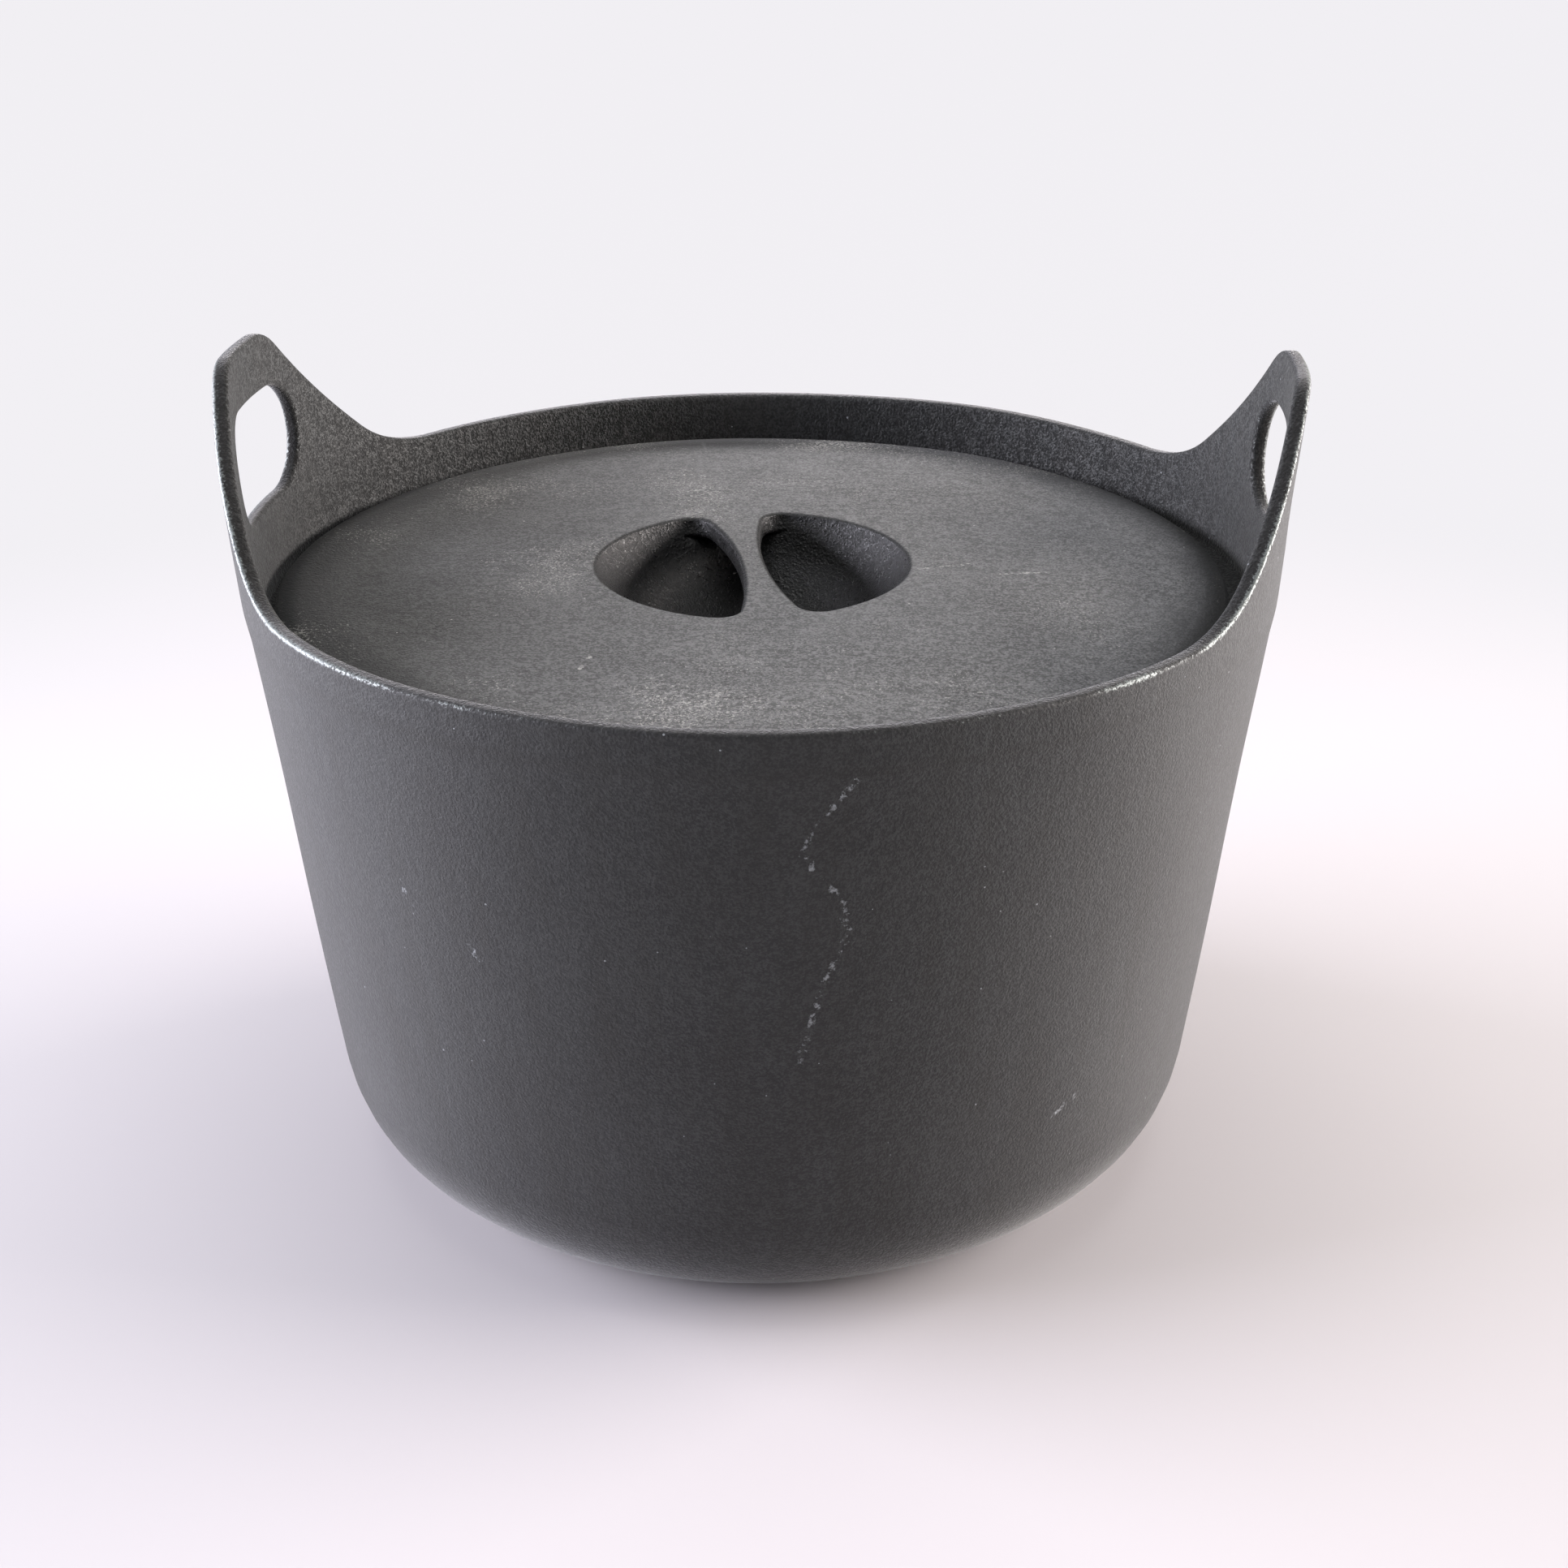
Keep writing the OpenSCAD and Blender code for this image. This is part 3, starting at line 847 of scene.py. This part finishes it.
def pocket_outline(mouth, grow):
    """A pocket's outline on the +X side of the bar, grown outwards by grow: the mouth's arc, a corner, the
    bar's arched side, the other corner. Each corner's arc touches the two it joins. The second result is
    the point where the first corner leaves the mouth's arc."""
    side_middle = BAR_HALF + BAR_SIDE_R
    to_mouth = mouth - POCKET_CORNER_R
    to_side = BAR_SIDE_R - POCKET_CORNER_R
    cx = (to_mouth ** 2 - to_side ** 2 + side_middle ** 2) / (2 * side_middle)
    cy = math.sqrt(to_mouth ** 2 - cx ** 2)
    side_angle = math.atan2(cy, cx - side_middle)
    mouth_angle = math.atan2(cy, cx)

    def arc(x, y, r, start, end, count):
        angle = np.linspace(start, end, count)
        return np.stack([x + r * np.cos(angle), y + r * np.sin(angle)], -1)

    return np.concatenate([
        arc(0, 0, mouth + grow, -mouth_angle, mouth_angle, FINE),
        arc(cx, cy, POCKET_CORNER_R + grow, mouth_angle, side_angle, FINE // 3),
        arc(side_middle, 0, BAR_SIDE_R + grow, side_angle, 2 * math.pi - side_angle, FINE),
        arc(cx, -cy, POCKET_CORNER_R + grow, -side_angle, -mouth_angle, FINE // 3),
    ]), mouth * np.array([math.cos(mouth_angle), math.sin(mouth_angle)])


def seat_lid(x, y, z):
    """Lid places from the lid's own middle to where it lies: turned about Z, then shifted towards -X."""
    c, s = math.cos(LID_TURN), math.sin(LID_TURN)
    return np.stack([c * x - s * y - LID_SHIFT, s * x + c * y, z + 0 * x], -1)


# Rays from each pocket's eye. One runs to where the lid's edge crosses the bar's line, and one to the
# point where the corner leaves the mouth's arc under the bar.
edge_angle = math.atan2(LID_R - LID_EDGE_R, -POCKET_EYE[0])
under_outline, under_touch = pocket_outline(under_r, 0.0)
touch_angle = math.atan2(under_touch[1] - POCKET_EYE[1], under_touch[0] - POCKET_EYE[0])
front_rays = np.linspace(-touch_angle, touch_angle, MOUTH_SIDE + 1)
upper_rays = np.linspace(touch_angle, edge_angle, CORNER_SIDE + 1)[1:]
back_rays = np.linspace(edge_angle, 2 * math.pi - edge_angle, BAR_SIDE + 1)[1:]
lower_rays = np.linspace(2 * math.pi - edge_angle, 2 * math.pi - touch_angle, CORNER_SIDE + 1)[1:-1]
rays = np.concatenate([front_rays, upper_rays, back_rays, lower_rays])


def half_lid(rays, r):
    """Where rays from a pocket's eye meet the half disc of radius r on the +X side of the bar's line."""
    dx, dy = np.cos(rays), np.sin(rays)
    along = POCKET_EYE[0] * dx
    to_circle = -along + np.sqrt(along ** 2 - POCKET_EYE[0] ** 2 + r ** 2)
    to_line = np.where(dx < -NEARLY, -POCKET_EYE[0] / np.minimum(dx, -NEARLY), np.inf)
    reach = np.minimum(to_circle, to_line)
    return np.stack([POCKET_EYE[0] + reach * dx, reach * dy], -1)


lid_casting = Casting()
plate_edge = half_lid(rays, LID_R - LID_EDGE_R)
plate_edge[:, 0] = np.where(plate_edge[:, 0] < NEARLY, 0.0, plate_edge[:, 0])
fillet = np.linspace(0, math.pi / 2, POCKET_EDGE_STEPS + 1)
for side in (1, -1):
    # The upper face, in rings from a pocket's edge out to the lid's edge and the bar's middle line
    start = loop_direction(pocket_outline(MOUTH_R, POCKET_EDGE_R)[0], POCKET_EYE, rays)
    spread = np.linspace(0, 1, PLATE_RINGS + 1)[:, None, None] ** PLATE_CROWDING
    ring = start * (1 - spread) + plate_edge * spread
    height = crown(np.hypot(ring[..., 0], ring[..., 1]))
    lid_casting.block(seat_lid(side * ring[..., 0], ring[..., 1], height), 1.0, round_rows=True)
    # The rounded edge, then the pocket's wall down to the level of the bar's underside
    grown = POCKET_EDGE_R * (1 - np.sin(fillet))
    lips = np.stack([loop_direction(pocket_outline(MOUTH_R, g)[0], POCKET_EYE, rays) for g in grown])
    lip_top = crown(np.hypot(lips[0, :, 0], lips[0, :, 1]))
    lip_z = lip_top - POCKET_EDGE_R * (1 - np.cos(fillet))[:, None]
    lip_dry = np.cos(fillet) ** DRY_FADE
    lid_casting.block(seat_lid(side * lips[..., 0], lips[..., 1], lip_z), lip_dry, round_rows=True)
    foot = loop_direction(under_outline, POCKET_EYE, rays)
    drop = np.linspace(0, 1, POCKET_WALL_STEPS + 1)[:, None]
    wall = lips[-1] * (1 - drop[..., None]) + foot * drop[..., None]
    wall_z = lip_z[-1] * (1 - drop) + bar_low * drop
    lid_casting.block(seat_lid(side * wall[..., 0], wall[..., 1], wall_z), 0.0, round_rows=True)

# The bar's underside, in rows from one end to the other. Its rows bend as they near each end, until the
# last one follows the bowl's circle.
foot = loop_direction(under_outline, POCKET_EYE, rays)
bar_edge = foot[MOUTH_SIDE:MOUTH_SIDE + 2 * CORNER_SIDE + BAR_SIDE]
bar_edge = np.concatenate([bar_edge, foot[:1]])
across = np.linspace(-1, 1, BAR_ACROSS + 1)
bar_x = bar_edge[:, 0:1] * across
end_share = np.clip((np.abs(bar_edge[:, 1:2]) / under_touch[1] - BAR_BEND) / (1 - BAR_BEND), 0, 1) ** 2
circle_y = np.sqrt(np.maximum(under_r ** 2 - bar_x ** 2, 0))
arch = circle_y - circle_y[:, :1]
bar_y = bar_edge[:, 1:2] + np.sign(bar_edge[:, 1:2]) * arch * end_share
lid_casting.block(seat_lid(bar_x, bar_y, np.full_like(bar_x, bar_low)), 0.0)

# Inside the bowl, from the same level down to its lowest point
mouth_front = foot[:MOUTH_SIDE + 1]
circle = np.concatenate([
    mouth_front[:-1],
    np.stack([bar_x[0][::-1], bar_y[0][::-1]], -1)[:-1],
    np.stack([-mouth_front[::-1, 0], mouth_front[::-1, 1]], -1)[:-1],
    np.stack([bar_x[-1], bar_y[-1]], -1)[:-1],
])
start_tilt = math.asin(under_r / bowl_r)
tilt = np.linspace(start_tilt, 0, BOWL_RINGS + 1)[:, None]
bowl_x = circle[:, 0] / under_r * bowl_r * np.sin(tilt)
bowl_y = circle[:, 1] / under_r * bowl_r * np.sin(tilt)
lid_casting.block(seat_lid(bowl_x, bowl_y, bowl_middle - bowl_r * np.cos(tilt)), 0.0, round_rows=True)

# The lid's edge, its underside with the locating lip, and the outside of the bowl
on_edge = np.hypot(plate_edge[:, 0], plate_edge[:, 1]) > LID_R - LID_EDGE_R - NEARLY
edge_angles = np.arctan2(plate_edge[on_edge, 1], plate_edge[on_edge, 0])
edge_angles = np.mod(np.concatenate([edge_angles, math.pi - edge_angles]), 2 * math.pi)
edge_angles = np.unique(np.round(edge_angles, 9))
to_next = np.diff(edge_angles, append=edge_angles[0] + 2 * math.pi)
edge_angles = edge_angles[to_next > NEARLY]
outer_bowl_r = bowl_r + BOWL_T
hub = math.sqrt(outer_bowl_r ** 2 - (bowl_middle - plate_low(HUB_R)) ** 2)
cap = np.linspace(math.asin(hub / outer_bowl_r), 0, CAP_RINGS + 1)
plain = np.linspace(PLAIN_OUT, PLAIN_IN, PLAIN_RINGS + 1)
edge_path = rounded_path([
    (LID_R - LID_EDGE_R, crown(LID_R - LID_EDGE_R), 0),
    (LID_R, crown(LID_R) - LID_EDGE_R, LID_CORNER_R),
    (LID_R, SEAT_H, LID_SEAT_R),
    (LIP_R, plate_low(LIP_R), LID_CORNER_R),
    (LIP_R, SEAT_H - LIP_H, LIP_CORNER_R),
    (LIP_R - LIP_T, SEAT_H - LIP_H, LIP_CORNER_R),
    (LIP_R - LIP_T, plate_low(LIP_R - LIP_T), LIP_ROOT_R),
    (PLAIN_OUT, plate_low(PLAIN_OUT), 0),
])
under_path = np.concatenate([
    edge_path,
    np.stack([plain[1:], plate_low(plain[1:])], -1),
    np.stack([outer_bowl_r * np.sin(cap), bowl_middle - outer_bowl_r * np.cos(cap)], -1),
])
under = turned(under_path, edge_angles)
under_mark = np.clip(1 - np.arange(len(under_path)) / DRY_EDGE_ROWS, 0, 1)
lid_casting.block(seat_lid(under[..., 0], under[..., 1], under[..., 2]), under_mark, round_rows=True)

lid = lid_casting.finish("lid_casting", "dry")
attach(lid, "lid")
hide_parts("lid_plate", "locating_lip", "grip_bowl", "grip_bar")


# The lid's finish, in the same units
SIDE_SHADE_FROM = -120.0         # from this X to the next one the top's painted shade lifts
SIDE_SHADE_TO = 20.0
SHADED_SIDE_DRY_SHARE = 0.3
MARGIN_FROM = 101.0         # radii between which the painted shade along the edge comes in
MARGIN_TO = 115.0
MARGIN_WAVE = 16.0          # how far its border strays
MARGIN_SIDE = 80.0          # sum of X and Y at which that shade is strongest
WIPE_TURN = math.radians(-4)    # wiping lines run nearly along X
WIPE_W = 0.9
WIPE_SQUASH = 0.025         # their width over their length
WIPE_SHARE = 0.28
DUST_PATCH = 34.0
DUST_GRAIN = 0.7            # coarser than real dust, so that it shows
DUST_BACK_FROM = 75.0       # it lies thicker at the back, from this Y to the next one
DUST_BACK_TO = 105.0
WIPED_RELIEF = 0.5
WIPED_ROUGH = 0.66
POCKET_PIT_ROUGH = 0.6
POCKET_TOP_ROUGH = 0.26

DRY_DARK = "#424241"
DRY_LIGHT = "#7A7A79"
POCKET_OIL_AND_SHADE = "#060606"
DUST = "#B4B2AC"
LID_SHEEN = 0.06

# Marks on the lid's top, as runs of (x, y) points: short light scratches
LID_SCRATCHES = (
    ((37, -2), (50, 3)),
    ((55, -4), (66, -1)),
    ((-17, -72), (-12, -66)),
    ((20, -70), (22, -64)),
    ((82, -20), (85, -18)),
    ((-31, -58), (-33, -70)),
    ((-4, -85), (-1, -77)),
)
LID_SCRATCH_REACH = (0.2, 1.4)


def dry_sand_cast_iron():
    """The same iron, dry. Its flat top has lost its oil to years of wiping: it is a matt mid grey with fine
    wiping lines and caught dust, and painted shade darkens it towards -X and along its edge at +X and +Y.
    The grip's pockets are out of the cloth's reach and stay pebbly; their black is partly oil and partly
    painted shade."""
    made, tree = fresh_material("dry_sand_cast_iron")
    place = add(tree, "TexCoord").outputs["Object"]
    axes = add(tree, "SeparateXYZ", None, {"Vector": place})
    grain, tops, mottle, speck = casting_skin(tree, place)
    dry = add(tree, "Attribute", {"attribute_name": "dry"}).outputs["Fac"]

    # Painted shade: towards -X the top takes more of the oily colour
    along = add(tree, "MapRange", SMOOTH, {
        "Value": axes.outputs["X"],
        "From Min": SIDE_SHADE_FROM * MM, "From Max": SIDE_SHADE_TO * MM, "To Min": SHADED_SIDE_DRY_SHARE, "To Max": 1.0,
    })
    # Painted shade along the edge at +X and +Y, where the top takes the oily colour
    across = add(tree, "CombineXYZ", None, {"X": axes.outputs["X"], "Y": axes.outputs["Y"]})
    radius = add(tree, "VectorMath", {"operation": "LENGTH"}, {0: across})
    wavy = add(tree, "Math", TIMES_PLUS, {0: mottle, 1: MARGIN_WAVE * MM, 2: radius.outputs["Value"]})
    edge_shade = add(tree, "MapRange", SMOOTH, {
        "Value": wavy, "From Min": MARGIN_FROM * MM, "From Max": MARGIN_TO * MM,
    })
    sideways = add(tree, "Math", {"operation": "ADD"}, {0: axes.outputs["X"], 1: axes.outputs["Y"]})
    sideways = add(tree, "MapRange", SMOOTH, {
        "Value": sideways,
        "From Min": 0.0, "From Max": MARGIN_SIDE * MM, "To Min": 0.35, "To Max": 0.95,
    })
    edge_shade = add(tree, "Math", TIMES, {0: edge_shade, 1: sideways})
    dry_unshaded = add(tree, "Math", {"operation": "SUBTRACT", "use_clamp": True}, {0: along, 1: edge_shade})
    dry_share = add(tree, "Math", TIMES, {0: dry, 1: dry_unshaded})

    lines_place = add(tree, "Mapping", None, {
        "Vector": place, "Rotation": (0, 0, WIPE_TURN), "Scale": (WIPE_SQUASH, 1.0, 1.0),
    })
    lines = add(tree, "TexNoise", None, {
        "Vector": lines_place, "Scale": 1 / (WIPE_W * MM), "Detail": 3.0, "Roughness": 0.7,
    })
    lines = add(tree, "MapRange", None, {
        "Value": lines, "From Min": 0.3, "From Max": 0.75,
    })

    # Dust: fine speckle where a slow noise lets it lie, and thicker along the back edge
    lies = add(tree, "TexNoise", None, {"Vector": place, "Scale": 1 / (DUST_PATCH * MM), "Detail": 3.0})
    back = add(tree, "MapRange", None, {
        "Value": axes.outputs["Y"],
        "From Min": DUST_BACK_FROM * MM, "From Max": DUST_BACK_TO * MM, "To Max": 0.16,
    })
    lies = add(tree, "Math", {"operation": "ADD"}, {0: lies, 1: back})
    speckle = add(tree, "TexNoise", None, {
        "Vector": place, "Scale": 1 / (DUST_GRAIN * MM), "Detail": 3.0, "Roughness": 0.8,
    })
    dust = add(tree, "Math", TIMES_PLUS, {0: lies, 1: 0.55, 2: speckle})
    dust = add(tree, "MapRange", None, {"Value": dust, "From Min": 0.92, "From Max": 0.99, "To Max": 0.8})
    dust = add(tree, "Math", TIMES, {0: dust, 1: dry})
    scratches = [[(*point, 0) for point in mark] for mark in LID_SCRATCHES]
    to_scratch = from_marks(tree, across, scratches)
    scratched = chalked(tree, place, to_scratch, *LID_SCRATCH_REACH)
    scratched = add(tree, "Math", TIMES, {0: scratched, 1: dry})
    speck = add(tree, "Math", TIMES, {0: speck, 1: dry})

    tone = add(tree, "Math", TIMES_PLUS, {0: lines, 1: WIPE_SHARE, 2: mottle})
    tone = add(tree, "Math", TIMES_PLUS, {0: tops, 1: 0.8, 2: tone})
    tone = add(tree, "MapRange", None, {"Value": tone, "From Min": 0.45, "From Max": 1.4})
    oily = laid_over(tree, linear(IRON_PIT), ((tone, IRON_TOP),))
    powdery = laid_over(tree, linear(DRY_DARK), ((tone, DRY_LIGHT),))
    # The lid's oily parts are laid over with near-black: partly the oil, partly painted shade in the deep
    # pockets and bowl
    pocket = add(tree, "Math", {"operation": "SUBTRACT"}, {0: 1.0, 1: dry})
    colour = add(tree, "Mix", {"data_type": "RGBA"}, {0: dry_share, 6: oily, 7: powdery})
    colour = laid_over(tree, colour.outputs[2], (
        (pocket, POCKET_OIL_AND_SHADE),
        (dust, DUST),
        (speck, DUST),
        (scratched, DUST),
    ))
    relief = add(tree, "MapRange", None, {
        "Value": dry, "To Min": UNRUBBED_RELIEF, "To Max": WIPED_RELIEF,
    })
    height = add(tree, "Math", TIMES, {0: grain, 1: relief})
    bump = add(tree, "Bump", None, {"Height": height, "Distance": RELIEF * MM})
    # In the pockets the tops of the grain are glossy and its pits are not
    pebbly_gloss = add(tree, "MapRange", None, {
        "Value": tops, "To Min": POCKET_PIT_ROUGH, "To Max": POCKET_TOP_ROUGH,
    })
    gloss = add(tree, "Mix", None, {0: dry, 2: pebbly_gloss, 3: WIPED_ROUGH})
    shade = add(tree, "BsdfPrincipled", None, {
        "Base Color": colour,
        "Roughness": gloss,
        "Normal": bump.outputs["Normal"],
        "Sheen Weight": LID_SHEEN,
        "Sheen Roughness": SHEEN_SPREAD,
    })
    add(tree, "OutputMaterial", None, {"Surface": shade})
    return made


lid.data.materials.append(dry_sand_cast_iron())
